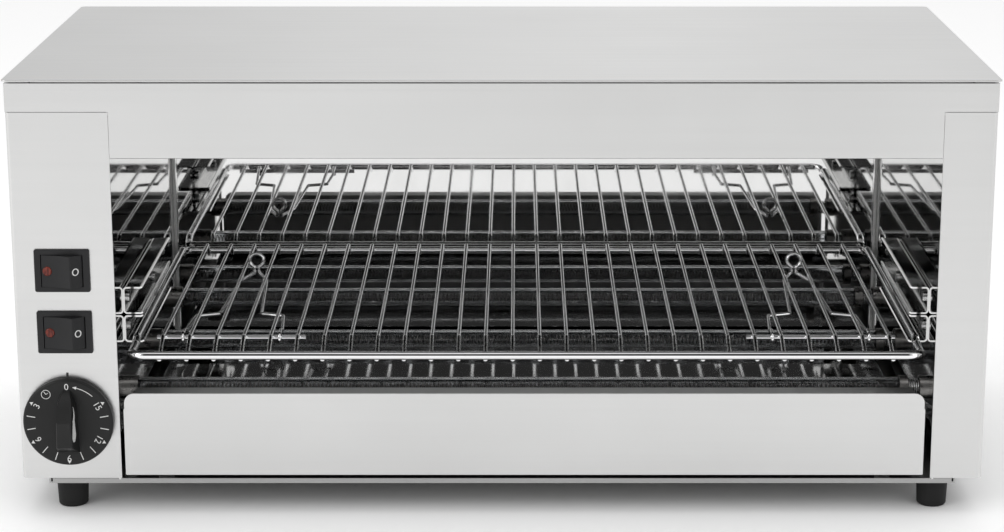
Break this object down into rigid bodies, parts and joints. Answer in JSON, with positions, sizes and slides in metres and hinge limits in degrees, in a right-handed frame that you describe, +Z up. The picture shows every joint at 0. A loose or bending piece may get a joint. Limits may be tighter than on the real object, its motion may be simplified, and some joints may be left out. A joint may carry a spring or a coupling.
{
  "type": "countertop quartz toaster",
  "caption": "Open-fronted steel countertop toaster with quartz tubes above and below a sliding wire rack, a crumb tray, rocker switches and a timer dial.",
  "frame": {"origin": "middle of the whole object's footprint, on the surface that it stands on", "axes": "+X to the right seen from the front, +Y to the back, +Z up"},
  "size_m": [0.5704, 0.31, 0.262],
  "materials": {
    "outer_steel": "satin",
    "polished_steel": "mirror polished",
    "guide_steel": "bright",
    "galvanised_steel": "dull",
    "screw_steel": "bright",
    "end_cup_steel": "heat stained",
    "spring_steel": "bright",
    "rack_chrome": "bright",
    "quartz": "smoked by the wire inside",
    "coil_wire": "oxidised",
    "brass_strip": "plain",
    "inner_plastic": "matte",
    "knob_plastic": "satin",
    "switch_black": "fine grain",
    "lens_red": "unlit lamp lens",
    "gland_plastic": "matte",
    "seal_rubber": "matte",
    "foot_rubber": "matte",
    "lead_sleeve": "woven sleeve"
  },
  "bodies": {
    "cabinet": {"base_pan": "galvanised_steel", "bus_bars": "brass_strip", "case_screws": "screw_steel", "cavity_left_wall": "polished_steel", "cavity_rear_wall": "polished_steel", "cavity_right_wall": "polished_steel", "earth_stud": "brass_strip", "foot_front_left": "foot_rubber", "foot_front_right": "foot_rubber", "foot_rear_left": "foot_rubber", "foot_rear_right": "foot_rubber", "foot_screws": "screw_steel", "front_fascia": "outer_steel", "gland_body": "gland_plastic", "gland_nut": "gland_plastic", "gland_seal": "seal_rubber", "guide_screws": "screw_steel", "heat_shield": "galvanised_steel", "heating_coils": "coil_wire", "left_side_panel": "outer_steel", "lower_left_caps": "end_cup_steel", "lower_right_caps": "end_cup_steel", "lower_spring_holders": "end_cup_steel", "lower_tube_front": "quartz", "lower_tube_middle": "quartz", "lower_tube_rear": "quartz", "lower_tube_springs": "spring_steel", "rack_guide_left_lower": "guide_steel", "rack_guide_left_upper": "guide_steel", "rack_guide_right_lower": "guide_steel", "rack_guide_right_upper": "guide_steel", "rear_panel": "outer_steel", "right_side_panel": "outer_steel", "switch_lower_housing": "switch_black", "switch_lower_terminals": "brass_strip", "switch_upper_housing": "switch_black", "switch_upper_terminals": "brass_strip", "terminal_block": "inner_plastic", "timer_body": "inner_plastic", "timer_screws": "screw_steel", "top_cover": "outer_steel", "upper_left_caps": "end_cup_steel", "upper_reflector": "polished_steel", "upper_right_caps": "end_cup_steel", "upper_spring_holders": "end_cup_steel", "upper_tube_front": "quartz", "upper_tube_middle": "quartz", "upper_tube_rear": "quartz", "upper_tube_springs": "spring_steel", "wiring_loom": "lead_sleeve"},
    "rack": {"rack_grid": "rack_chrome", "rack_clips": "rack_chrome"},
    "crumb_tray": {"crumb_tray_pan": "polished_steel", "crumb_tray_front": "outer_steel"},
    "timer_dial": {"timer_knob": "knob_plastic", "timer_shaft": "screw_steel"},
    "upper_rocker": {"switch_upper_rocker": "switch_black", "switch_upper_lens": "lens_red"},
    "lower_rocker": {"switch_lower_rocker": "switch_black", "switch_lower_lens": "lens_red"}
  },
  "joints": [
    {"name": "rack_slide", "type": "slide", "parent": "cabinet", "child": "rack", "axis": [0, -1, 0], "range_m": [0, 0.07]},
    {"name": "tray_slide", "type": "slide", "parent": "cabinet", "child": "crumb_tray", "axis": [0, -1, 0], "range_m": [0, 0.2]},
    {"name": "timer_turn", "type": "hinge", "parent": "cabinet", "child": "timer_dial", "pos_m": [-0.2547, -0.135, 0.0588], "axis": [0, -1, 0], "range_deg": [-300, 35]},
    {"name": "switch_upper_rock", "type": "hinge", "parent": "cabinet", "child": "upper_rocker", "pos_m": [-0.2549, -0.1336, 0.1498], "axis": [0, 0, 1], "range_deg": [-12, 0]},
    {"name": "switch_lower_rock", "type": "hinge", "parent": "cabinet", "child": "lower_rocker", "pos_m": [-0.2549, -0.1336, 0.1127], "axis": [0, 0, 1], "range_deg": [-12, 0]}
  ]
}
